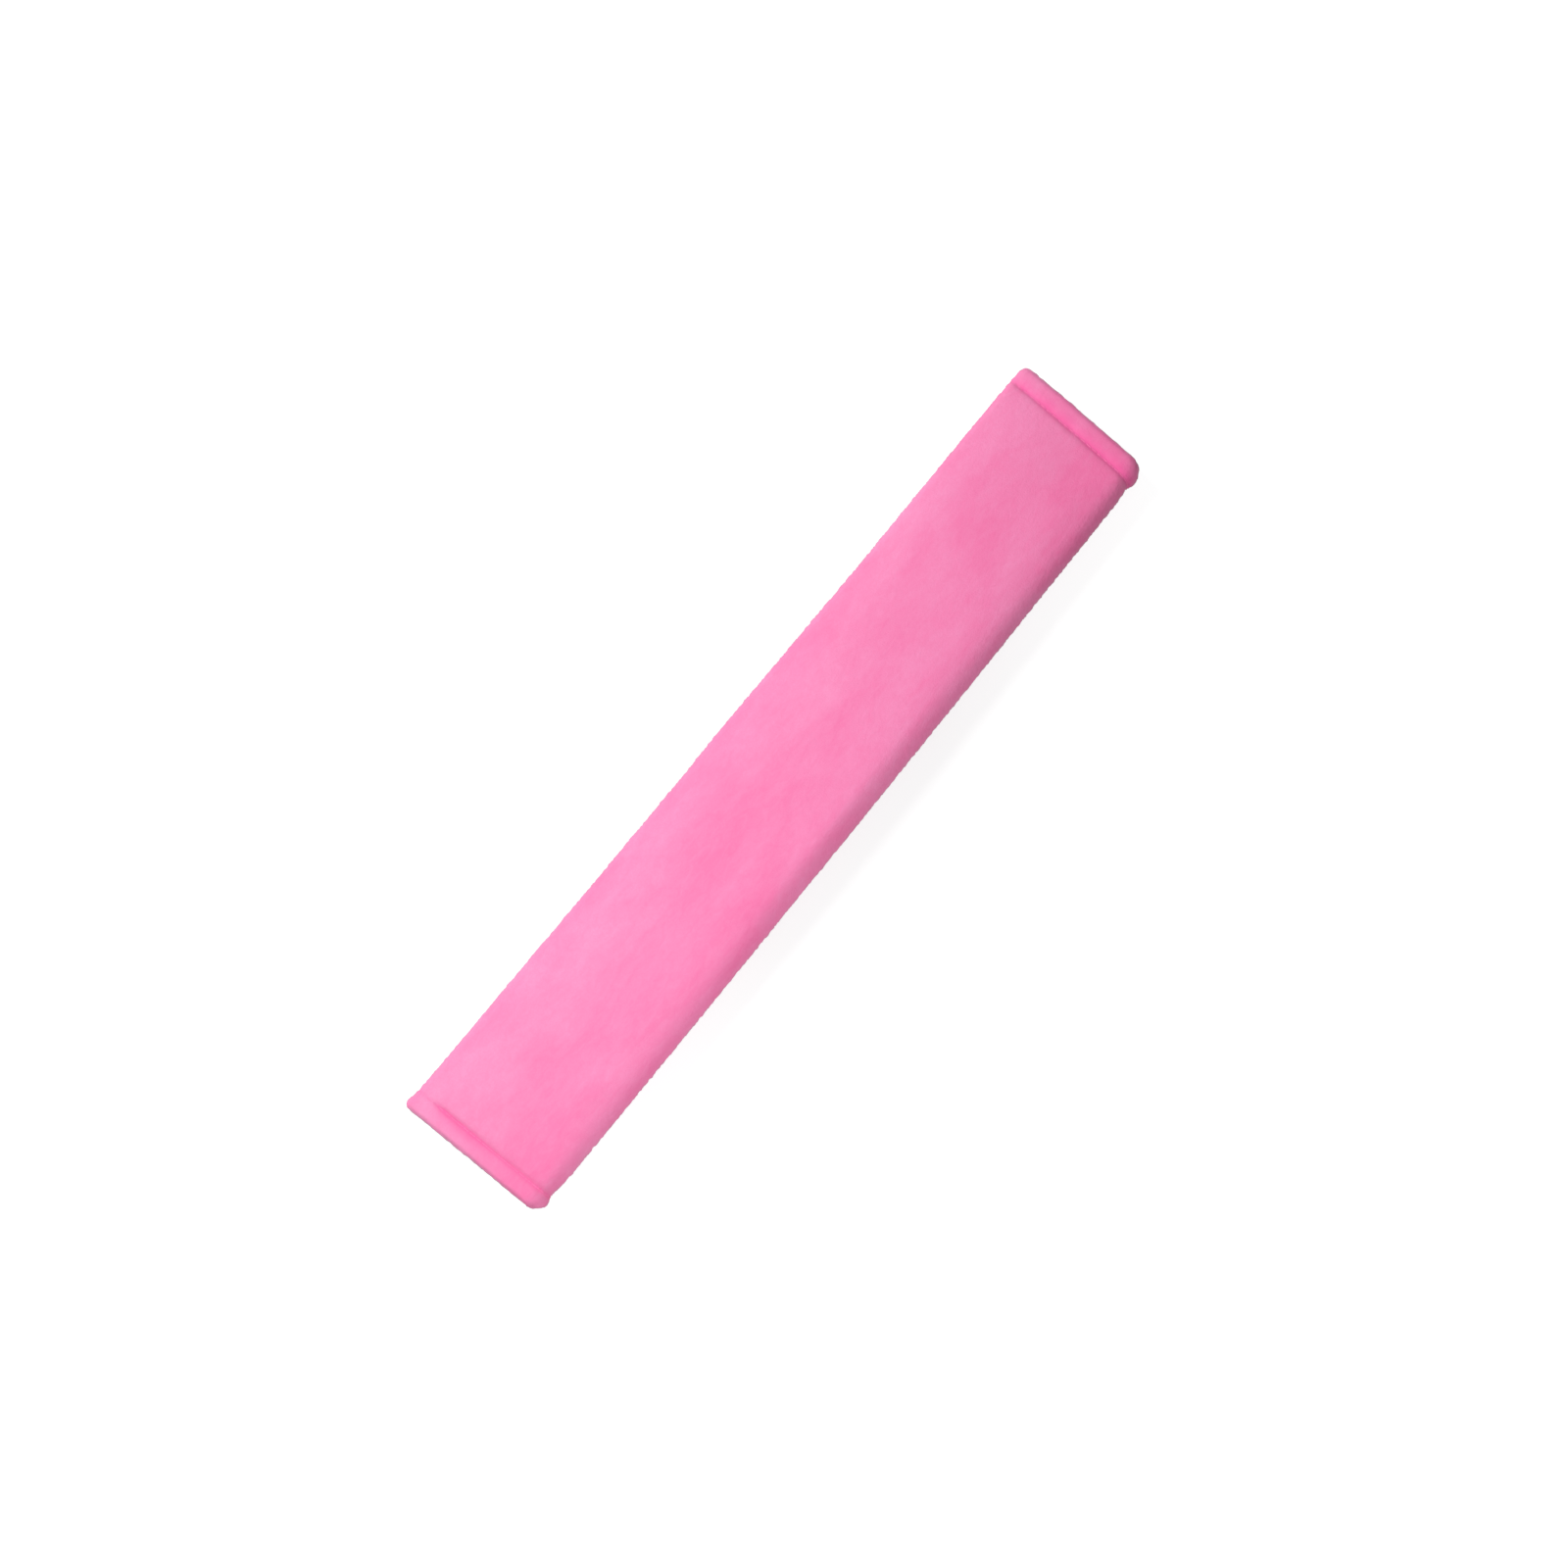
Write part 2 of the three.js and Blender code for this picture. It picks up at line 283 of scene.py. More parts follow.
def stitch_strength(x, along):
    """How hard the hem's stitching pulls. At the -X end it lets go near the upper closing edge."""
    from_top_edge = GIRTH - along
    loose = (x < 0) * (1 - ease((from_top_edge - LOOSE_FROM) / LOOSE_FADE))
    uneven = 1 + HOLD_UNEVEN * end_noise(x, along, HOLD_LUMPS, seed=5)
    return (1 - LOOSE_SHARE * loose) * uneven * by_end(x, HOLD_BY_END)


def stitch_pull(x, along):
    """The crease of the stitching: a narrow groove with soft shoulders, and a dip in the padding round it."""
    past = past_stitch(x)
    needle = 0.5 + 0.5 * np.cos(2 * np.pi * along / STITCH)
    at_fold = np.sin(np.pi * fold_share(along)) ** 2
    groove = (GROOVE + NEEDLE_PULL * needle) * bump(past, GROOVE_WIDTH)
    groove += SHOULDER * beside(past, SHOULDER_WIDTHS)
    dip = DIP * beside(past, DIP_WIDTHS) * (1 + DIP_MORE_AT_FOLD * at_fold)
    return (groove * (1 - GROOVE_LOST_AT_FOLD * at_fold) + dip) * stitch_strength(x, along)


def puckers(x, along):
    """Small folds that run out of the stitching on both sides."""
    past = past_stitch(x)
    lean = PUCKER_LEAN * past
    waves = end_noise(x, along + lean, PUCKER_LUMPS[0], seed=6)
    waves += 0.5 * end_noise(x, along - lean, PUCKER_LUMPS[1], seed=7)
    return PUCKER * waves * beside(past, PUCKER_WIDTHS)


def soft_dents(x, along):
    """The slow unevenness of a padded strip that has been handled."""
    slanting = x + SMALL_DENT_LEAN * along
    slow = SLOW_DENT * noise2(x, along, SLOW_DENT_LUMPS, seed=8, stretch=1.8)
    return slow + SMALL_DENT * noise2(slanting, along, SMALL_DENT_LUMPS, seed=9, stretch=2.2)


def cover_points(xs, rounds, detail=True):
    """The outer and inner faces of the cover over a grid of places, before its pocket is cut."""
    x, along = np.meshgrid(xs, rounds, indexing="ij")
    fill = fullness(x, along)
    middle = LAYER / 2
    outer = middle - (middle + hem_swelling(x, along) - stitch_pull(x, along)) * fill
    inner = middle + (middle - INNER_GROOVE * bump(past_stitch(x), INNER_GROOVE_WIDTH)) * fill
    if detail:
        outer = outer + (puckers(x, along) + soft_dents(x, along)) * fill
    placed = x - np.sign(x) * drawn_in(x, along)
    across = moved_across(x, along)
    faces = []
    for depth in (outer, inner):
        y, z = folded(along, depth)
        faces.append(np.stack([placed, y + across, z], -1))
    return faces[0], faces[1]


# Grids and meshes


def graded(stops):
    """A row of places: each stop is (place, step up to it), and the first stop has no step."""
    row = [np.array([stops[0][0]])]
    for (start, _), (end, step) in zip(stops, stops[1:]):
        count = max(1, round((end - start) / step))
        row.append(np.linspace(start, end, count + 1)[1:])
    return np.concatenate(row)


def rounded_ends(row, steps):
    """The row again, with the rounding of the edges at both its ends divided finely."""
    near = EDGE_ROUND * (1 - np.cos(np.pi / 2 * np.arange(0, steps + 1) / steps))
    clear_of_it = EDGE_ROUND * 1.08
    middle = row[(row > row[0] + clear_of_it) & (row < row[-1] - clear_of_it)]
    return np.concatenate([row[0] + near, middle, (row[-1] - near)[::-1]])


def face_quads(index):
    """The quads between the points of a grid, from the grid of their numbers."""
    return np.stack([index[:-1, :-1], index[1:, :-1], index[1:, 1:], index[:-1, 1:]], -1).reshape(-1, 4)


def rim_quads(outer, inner):
    """The quads that close the four sides between two grids of point numbers."""
    sides = [
        (outer[:, 0], inner[:, 0]),
        (outer[::-1, -1], inner[::-1, -1]),
        (outer[0, ::-1], inner[0, ::-1]),
        (outer[-1, :], inner[-1, :]),
    ]
    return np.concatenate([np.stack([a[1:], a[:-1], b[:-1], b[1:]], -1) for a, b in sides])


def shell(outer, inner, shared_rim):
    """Vertices and quads of a closed sheet between two faces, which meet along the rim if it is shared."""
    rows, cols = outer.shape[:2]
    count = rows * cols
    outer_index = np.arange(count).reshape(rows, cols)
    inner_index = outer_index + count
    inner_points = inner.reshape(-1, 3)
    if shared_rim:
        kept = np.zeros((rows, cols), bool)
        kept[1:-1, 1:-1] = True
        inner_index = outer_index.copy()
        inner_index[kept] = count + np.arange(kept.sum())
        inner_points = inner[kept]
    quads = [face_quads(outer_index), face_quads(inner_index)[:, ::-1]]
    if not shared_rim:
        quads.append(rim_quads(outer_index, inner_index))
    return np.concatenate([outer.reshape(-1, 3), inner_points]), np.concatenate(quads)


def new_mesh(name, vertices, faces, smooth=True):
    """A new piece from an array of points and lists of their numbers."""
    mesh = bpy.data.meshes.new(name)
    mesh.from_pydata(vertices.tolist(), [], faces)
    if smooth:
        mesh.shade_smooth()
    else:
        mesh.shade_flat()
    mesh.update()
    piece = bpy.data.objects.new(name, mesh)
    bpy.context.scene.collection.objects.link(piece)
    return piece


def coordinates(mesh):
    flat = np.zeros(len(mesh.vertices) * 3)
    mesh.vertices.foreach_get("co", flat)
    return flat.reshape(-1, 3)


def normals_of(vertices, quads):
    across = vertices[quads[:, 2]] - vertices[quads[:, 0]]
    along = vertices[quads[:, 3]] - vertices[quads[:, 1]]
    face = np.cross(across, along)
    total = np.zeros_like(vertices)
    for k in range(quads.shape[1]):
        np.add.at(total, quads[:, k], face)
    return total / np.maximum(np.linalg.norm(total, axis=1, keepdims=True), 1e-12)


def apply_modifiers(piece):
    """Puts the result of a piece's modifiers into its mesh."""
    graph = bpy.context.evaluated_depsgraph_get()
    made = bpy.data.meshes.new_from_object(piece.evaluated_get(graph))
    piece.modifiers.clear()
    piece.data = made


# The cover, swollen over its padding

SWELL_CAP = 1.0 * MM  # the most that the cloth may swell
SWELL_FRAMES = 20
HELD_WIDTH = 0.7 * MM  # how far on each side the stitching holds the cloth
SMOOTH_ALONG = 14 * MM
SMOOTH_ROUND = 5 * MM
FREE_PAST_STITCH = 12 * MM  # how far from the stitching the cloth takes to swell in full
FREE_PAST_EDGE = 7 * MM  # and how far from the closing edges
STITCH_GRID = (7 * MM, 3 * MM)  # how far from the stitching its own steps go, over the padding and the hem
FINE_GRID = (0.6 * MM, 0.5 * MM, 0.6 * MM)  # steps over the padding, the stitching and the hem
COARSE_GRID = (3.0 * MM, 1.15 * MM, 1.5 * MM)
FINE_ROUND = (2.6 * MM, 0.8 * MM, 1.7 * MM)  # steps over the lower side, the fold and the upper side
COARSE_ROUND = (2.6 * MM, 1.9 * MM, 2.3 * MM)
FINE_EDGE_STEPS = 8
COARSE_EDGE_STEPS = 3
PILE_LUMPS = 0.85 * MM
PILE_ON_TOP = 0.03 * MM  # the height of the pile's tufts where the cover faces up or down
PILE_ON_SIDES = 0.42 * MM  # and how much higher they are where it faces sideways


def grid_along(steps, edge_steps):
    """Places along the pad: finest round the two rows of stitching."""
    over_body, over_stitch, over_hem = steps
    before = STITCH_X - STITCH_GRID[0]
    after = STITCH_X + STITCH_GRID[1]
    minus_end = [(-HALF, 0), (-after, over_hem), (-before, over_stitch)]
    plus_end = [(before, over_body), (after, over_stitch), (HALF, over_hem)]
    return rounded_ends(graded(minus_end + plus_end), edge_steps)


def grid_round(steps, edge_steps):
    """Places round the folded line: finest round the fold."""
    lower, fold, upper = steps
    return rounded_ends(graded([(0, 0), (RUN, lower), (RUN + FOLD_LEN, fold), (GIRTH, upper)]), edge_steps)


def set_cloth(pad, pins):
    """Light cloth that is blown out from inside and held at the given points."""
    pad.vertex_groups.new(name="held").add(pins, 1.0, "REPLACE")
    cloth = pad.modifiers.new("swell", "CLOTH")
    settings = cloth.settings
    settings.quality = 6
    settings.mass = 0.3
    settings.tension_stiffness = 8
    settings.compression_stiffness = 8
    settings.shear_stiffness = 4
    settings.bending_stiffness = 0.4
    settings.use_pressure = True
    settings.uniform_pressure_force = 1.6
    settings.vertex_group_mass = "held"
    settings.effector_weights.gravity = 0
    cloth.collision_settings.use_collision = False
    cloth.point_cache.frame_start = 1
    cloth.point_cache.frame_end = SWELL_FRAMES


def simulated(vertices, quads, pins):
    """The points of a mesh after the cloth simulation."""
    pad = new_mesh("swelling", vertices, quads.tolist())
    set_cloth(pad, pins)
    for moment in range(1, SWELL_FRAMES + 1):
        bpy.context.scene.frame_set(moment)
    apply_modifiers(pad)
    bpy.context.scene.frame_set(1)
    mesh = pad.data
    after = coordinates(mesh)
    bpy.data.objects.remove(pad)
    bpy.data.meshes.remove(mesh)
    return after


def smoothing(places, reach):
    """Weights that average values over neighbouring places, because the pile hides any narrow fold."""
    weights = bump(places[:, None] - places[None, :], reach) * np.gradient(places)
    return weights / weights.sum(axis=1, keepdims=True)


def swollen(xs, rounds):
    """How far each place on the cover's outside moves when the padding pushes it out, by cloth simulation."""
    vertices, quads = shell(*cover_points(xs, rounds, detail=False), shared_rim=True)
    x, along = np.meshgrid(xs, rounds, indexing="ij")
    held = (np.abs(past_stitch(x)) < HELD_WIDTH) | (edge_distance(along) < 0.5 * EDGE_ROUND)
    held |= np.abs(x) > HALF - 0.5 * EDGE_ROUND
    inner_points = range(x.size, len(vertices))
    pins = np.flatnonzero(held.ravel()).tolist() + list(inner_points)
    moved = (simulated(vertices, quads, pins) - vertices)[: x.size].reshape(*x.shape, 3)
    moved = np.einsum("ik,kjc->ijc", smoothing(xs, SMOOTH_ALONG), moved)
    moved = np.einsum("jk,ikc->ijc", smoothing(rounds, SMOOTH_ROUND), moved)
    length = np.linalg.norm(moved, axis=2, keepdims=True)
    moved *= SWELL_CAP * np.tanh(length / SWELL_CAP) / np.maximum(length, 1e-9)
    free = ease(-past_stitch(x) / FREE_PAST_STITCH) * ease(edge_distance(along) / FREE_PAST_EDGE)
    return moved * (free * (1 - np.sin(np.pi * fold_share(along)) ** 2))[..., None]


def spread_over(values, xs, rounds, fine_xs, fine_rounds):
    """Values of a coarse grid at the places of a fine one."""
    layers = []
    for k in range(values.shape[2]):
        long = np.stack([np.interp(fine_xs, xs, values[:, j, k]) for j in range(len(rounds))], 1)
        layers.append(np.stack([np.interp(fine_rounds, rounds, row) for row in long]))
    return np.stack(layers, -1)


def with_pile(vertices, quads):
    """The points again, with the tufts of the pile. None of them goes under the ground."""
    normals = normals_of(vertices, quads)
    steep = 1 - np.abs(normals[:, 2:3])
    height = noise(vertices, PILE_LUMPS, seed=11)[:, None] * (PILE_ON_TOP + PILE_ON_SIDES * steep)
    tufted = vertices + normals * height
    tufted[:, 2] = np.maximum(tufted[:, 2], 0)
    return tufted


def cut_pocket(cover):
    """Cuts out of the cover the room that the foam and the lining lie in."""
    pocket = build_sheet("pocket", POCKET_X, PLUSH, (PLUSH, LAYER + CLEAR), steps=(6 * MM, 1.5 * MM))
    cut = cover.modifiers.new("pocket", "BOOLEAN")
    cut.operation = "DIFFERENCE"
    cut.solver = "MANIFOLD"
    cut.object = pocket
    apply_modifiers(cover)
    bpy.data.objects.remove(pocket)
    cover.data.shade_smooth()


def build_cover():
    fine_xs = grid_along(FINE_GRID, FINE_EDGE_STEPS)
    fine_rounds = grid_round(FINE_ROUND, FINE_EDGE_STEPS)
    outer, inner = cover_points(fine_xs, fine_rounds)
    xs = grid_along(COARSE_GRID, COARSE_EDGE_STEPS)
    rounds = grid_round(COARSE_ROUND, COARSE_EDGE_STEPS)
    outer = outer + spread_over(swollen(xs, rounds), xs, rounds, fine_xs, fine_rounds)
    vertices, quads = shell(outer, inner, shared_rim=True)
    cover = new_mesh("cover", with_pile(vertices, quads), quads.tolist())
    cut_pocket(cover)
    mark_pressed_pile_and_shade(cover)
    return cover


# Where the pile is pressed in, and where shade is painted into the stitching's groove. Each pair is (the -X
# end, the +X end).

LINE_WIDTH = (0.9 * MM, 1.1 * MM)  # of the stitching's own line
LINE_STRENGTH = (1.2, 0.95)
LINE_UNEVEN = 0.25
LINE_LUMPS = 5 * MM
PRESSED_STRENGTH = (0.55, 0.45)  # of the hem beside that line
PRESSED_PAST = 1.8 * MM  # from the stitching to the middle of that part
PRESSED_WIDTH = (1.7 * MM, 2.2 * MM)
PRESSED_Y = 9 * MM  # where across the pad the -X end's hem is pressed most
PRESSED_REACH = 13 * MM
BLOTCH_STRENGTH = (0.12, 0.4)
BLOTCH_SIZE = 5 * MM
BLOTCH_FADE = 1.5 * MM  # how far past the stitching the blotches take to show in full
CLOSING_LOSS = (0.8, 0.6)  # how much fades at the closing edge
CLOSING_FROM = (13 * MM, 7 * MM)  # how far from that edge it begins to fade
CLOSING_FADE = (7 * MM, 6 * MM)
FOLDING_LOSS = (0.45, 0)  # how much fades towards the fold
FOLDING_FROM = 10 * MM  # where across the pad it begins to
FOLDING_FADE = 20 * MM


def shown_share(x, y):
    """How much of the pressed pile and its painted shade shows: less at the closing edge, and at the -X end
    less by the fold.
    """
    near_closing = ease((y - EDGE_Y + by_end(x, CLOSING_FROM)) / by_end(x, CLOSING_FADE))
    near_fold = ease((FOLDING_FROM - y) / FOLDING_FADE)
    return (1 - by_end(x, CLOSING_LOSS) * near_closing) * (1 - by_end(x, FOLDING_LOSS) * near_fold)


def mark_pressed_pile_and_shade(cover):
    """A value on the cover's points, 1 where the pile is pressed into the stitching and painted shade fills
    its groove, and 0 away from it.

    The hem beside the stitching is pressed too, at the -X end only in its middle, and it has blotches.
    """
    x, y, _ = coordinates(cover.data).T
    past = past_stitch(x) + slanted(x, y)
    # the stitching's line: pressed pile, with painted shade in its groove
    line = bump(past, by_end(x, LINE_WIDTH))
    line *= by_end(x, LINE_STRENGTH) + LINE_UNEVEN * end_noise(x, y, LINE_LUMPS, seed=30)
    pressed = by_end(x, PRESSED_STRENGTH) * bump(past - PRESSED_PAST, by_end(x, PRESSED_WIDTH))
    pressed *= np.where(x < 0, bump(y - PRESSED_Y, PRESSED_REACH), 1)
    blotches = np.clip(noise2(x, y, BLOTCH_SIZE, seed=31), 0, 1) * ease(past / BLOTCH_FADE)
    value = (line + pressed + by_end(x, BLOTCH_STRENGTH) * blotches) * shown_share(x, y)
    attribute = cover.data.attributes.new("crease", "FLOAT", "POINT")
    attribute.data.foreach_set("value", np.clip(value, 0, 1).astype(np.float32))


# Foam and lining

BUNCH = 0.1 * MM  # how high the lining's ridges are inside the fold
BUNCH_LENGTH = 4.3 * MM
BUNCH_LUMPS = 30 * MM
LINING_WAVE = 0.06 * MM
LINING_WAVE_LUMPS = 9 * MM
LAYER_INSET = PLUSH + CLEAR  # from the closing edges to the foam and the lining


def build_sheet(name, end, inset, depths, steps, ripple=None):
    """A plain layer of the fold between two depths, with square edges. The steps go along it and round it."""
    step, round_step = steps
    xs = graded([(-end, 0), (end, step)])
    stops = [(inset, 0), (RUN, round_step), (RUN + FOLD_LEN, round_step), (GIRTH - inset, round_step)]
    x, along = np.meshgrid(xs, graded(stops), indexing="ij")
    lift = ripple(x, along) if ripple else 0
    faces = [np.stack([x, *folded(along, depth + lift)], -1) for depth in depths]
    vertices, quads = shell(*faces, shared_rim=False)
    return new_mesh(name, vertices, quads.tolist())


def build_foam():
    depths = (FOAM_DEPTH, LINING_DEPTH - CLEAR)
    return build_sheet("foam", FOAM_HIGH.x, LAYER_INSET, depths, steps=(4 * MM, 2 * MM))


def lining_ripple(x, along):
    """The lining is on the inside of the bend, so it bunches into small ridges along the fold."""
    turned = np.sin(np.pi * fold_share(along))
    drift = 2 * noise2(x, along, BUNCH_LUMPS, seed=20)
    ridges = BUNCH * np.sin(2 * np.pi * along / BUNCH_LENGTH + drift) * turned
    return ridges + LINING_WAVE * noise2(x, along, LINING_WAVE_LUMPS, seed=21)


def build_lining():
    depths = (LINING_DEPTH, LAYER)
    steps = (2.2 * MM, 1.1 * MM)
    return build_sheet("lining", LINING_HIGH.x, LAYER_INSET, depths, steps, ripple=lining_ripple)


def lining_flat():
    """The size the lining was cut to: its length round the fold at its middle depth, and along the pad."""
    depth = (LINING_DEPTH + LAYER) / 2
    along = np.linspace(LAYER_INSET, GIRTH - LAYER_INSET, num=400)
    y, z = folded(along, depth)
    return float(np.hypot(np.diff(y), np.diff(z)).sum()), 2 * LINING_HIGH.x


# The closing tapes

SELVEDGE = 1.0 * MM
SELVEDGE_RISE = 0.35 * MM  # how far past the selvedge the field takes to stand up
FIELD_END_RISE = 0.6 * MM  # and how far from the tape's ends
TAPE_STEP = 0.5 * MM
TAPE_STEP_ACROSS = 0.4 * MM
HOOK_ROWS = 1.2 * MM  # from one row of hooks to the next
HOOK_PITCH = 1.5 * MM  # from one hook to the next in its row
HOOK_BASE = 0.3 * MM
HOOK_HEIGHT = 0.5 * MM
LOOP_MAT = 0.65 * MM
LOOP_UNEVEN = 0.13 * MM
LOOP_LUMPS = (0.9 * MM, 2.3 * MM)


def build_tape(name, start, field):
    """A closing tape: a woven backing, and a field that stands field(x, across) over it."""
    xs = graded([(-TAPE_X, 0), (TAPE_X, TAPE_STEP)])
    rounds = graded([(start, 0), (start + TAPE_WIDTH, TAPE_STEP_ACROSS)])
    x, along = np.meshgrid(xs, rounds, indexing="ij")
    across = along - start
    inside = np.minimum(across, TAPE_WIDTH - across) - SELVEDGE
    raised = ease(inside / SELVEDGE_RISE) * ease((TAPE_X - np.abs(x)) / FIELD_END_RISE)
    under = LAYER + CLEAR
    top = under + TAPE_BACKING + field(x, across) * raised
    faces = [np.stack([x, *folded(along, depth)], -1) for depth in (under, top)]
    vertices, quads = shell(*faces, shared_rim=False)
    return new_mesh(name, vertices, quads.tolist())


def hook_field(x, across):
    """Rows of small stiff hooks, each row half a hook further on."""
    rows = 0.5 + 0.5 * np.cos(2 * np.pi * across / HOOK_ROWS)
    hooks = 0.5 + 0.5 * np.cos(2 * np.pi * x / HOOK_PITCH + np.pi * np.round(across / HOOK_ROWS))
    return HOOK_BASE + HOOK_HEIGHT * rows * hooks


def loop_field(x, across):
    """A brushed mat of loops."""
    mat = noise2(x, across, LOOP_LUMPS[0], seed=30) + 0.6 * noise2(x, across, LOOP_LUMPS[1], seed=31)
    return LOOP_MAT + LOOP_UNEVEN * mat


# Thread

HEM_THREAD_RADIUS = 0.14 * MM
HEM_THREAD_MARGIN = 4 * MM  # from the closing edges to the row's ends
TAPE_STITCH = 2.6 * MM
TAPE_THREAD_RADIUS = 0.12 * MM
TAPE_ROW_INSET = 0.5 * MM  # from the tape's long edges to the row
TAPE_ROW_MARGIN = 1.5 * MM  # from the tape's ends to the row's
SUNK_OUTSIDE = 0.15 * MM  # how deep the thread lies in the pile, on the outside of the pad
SUNK_INSIDE = 0.25 * MM
FOLLOWS_GROOVE = 0.93  # how much of the groove's depth the thread follows
THREAD_RISE = 1.1  # how high the thread's middle lies over the cloth, in its radii
THREAD_DIVE = 1.5  # and how deep it goes at each needle hole
THREAD_SIDES = 6
STEPS_PER_STITCH = 6


def unit(directions):
    return directions / np.linalg.norm(directions, axis=1, keepdims=True)


class Row:
    """A path for a row of stitches. place(distances, out) gives its points, moved outwards by out."""

    def __init__(self, place, length):
        self.place = place
        self.length = length

    def points_and_outward(self, distances):
        points = self.place(distances, 0.0)
        return points, unit(self.place(distances, MM) - points)


def thread_rings(centre, outward, radius):
    """A ring of points round each point of a line."""
    forward = unit(np.gradient(centre, axis=0))
    side = unit(np.cross(forward, outward))
    up = np.cross(side, forward)
    angles = 2 * np.pi * np.arange(THREAD_SIDES) / THREAD_SIDES
    ring = side[:, None] * np.cos(angles)[:, None] + up[:, None] * np.sin(angles)[:, None]
    return centre[:, None] + radius * ring


def thread_tube(row, stitch, radius):
    """Points and faces of a thread that lies on the cloth and dives into it at each needle hole."""
    count = max(1, round(row.length / stitch))
    distances = np.linspace(0, row.length, count * STEPS_PER_STITCH + 1)
    points, outward = row.points_and_outward(distances)
    on_top = np.sqrt(np.abs(np.sin(np.pi * distances / (row.length / count))))
    rise = radius * (THREAD_RISE * on_top - THREAD_DIVE * (1 - on_top))
    rings = thread_rings(points + outward * rise[:, None], outward, radius)
    index = np.arange(len(rings) * THREAD_SIDES).reshape(-1, THREAD_SIDES)
    following = np.roll(index, -1, axis=1)
    quads = np.stack([index[:-1], index[1:], following[1:], following[:-1]], -1).reshape(-1, 4)
    return rings.reshape(-1, 3), quads.tolist() + [index[0].tolist(), index[-1][::-1].tolist()]


def hem_row(end, inside):
    """The hem's topstitching, round the outside of the fold or round its inside."""

    def place(distances, out):
        along = HEM_THREAD_MARGIN + distances
        x = np.full_like(along, end * STITCH_X)
        if inside:
            depth = LAYER - INNER_GROOVE - SUNK_INSIDE + out
        else:
            depth = stitch_pull(x, along) * FOLLOWS_GROOVE + SUNK_OUTSIDE - out
        y, z = folded(along, depth)
        return np.stack([x - end * slanted(x, folded(along, 0)[0]), y, z], -1)

    return Row(place, GIRTH - 2 * HEM_THREAD_MARGIN)


def tape_row(along):
    """A row along a tape's selvedge, on its inward face."""

    def place(distances, out):
        x = distances - (TAPE_X - TAPE_ROW_MARGIN)
        y, z = folded(np.full_like(x, along), LAYER + CLEAR + TAPE_BACKING + out)
        return np.stack([x, y, z], -1)

    return Row(place, 2 * (TAPE_X - TAPE_ROW_MARGIN))


def build_thread(name, rows, stitch, radius):
    """One piece that holds the threads of all the given rows."""
    vertices = []
    faces = []
    shift = 0
    for row in rows:
        points, new_faces = thread_tube(row, stitch, radius)
        vertices.append(points)
        faces += [[number + shift for number in face] for face in new_faces]
        shift += len(points)
    return new_mesh(name, np.concatenate(vertices), faces)


# Materials


def shade(red, green, blue):
    return (red, green, blue, 1.0)


PINK = shade(0.95, 0.255, 0.505)
PINK_PALE = shade(0.96, 0.33, 0.575)
PINK_DEEP = shade(0.93, 0.19, 0.42)
# the deep pink of pressed pile, and of the painted shade in the stitching's groove
PINK_PRESSED_AND_SHADED = shade(0.88, 0.095, 0.345)
SHEEN_TINT = shade(1.0, 0.86, 0.93)
FOAM_DULL = shade(0.80, 0.78, 0.70)
FOAM_PALE = shade(0.88, 0.86, 0.79)
FOAM_PIT_SHADE = shade(0.60, 0.57, 0.48)
KNIT_DULL = shade(0.84, 0.24, 0.44)
KNIT_PALE = shade(0.90, 0.31, 0.50)
KNIT_HOLLOW_SHADE = shade(0.62, 0.12, 0.28)
TAPE_DEEP = shade(0.72, 0.19, 0.36)
TAPE_PALE = shade(0.86, 0.33, 0.52)
FLOOR_GREY = shade(0.32, 0.32, 0.32)
WHITE = shade(1, 1, 1)

BRUSHED_UP = ((-0.118, 0.006), 0.034)  # middle and reach of a paler patch, where the pile stands up
BRUSHED_DOWN = ((-0.035, 0.016), 0.03)


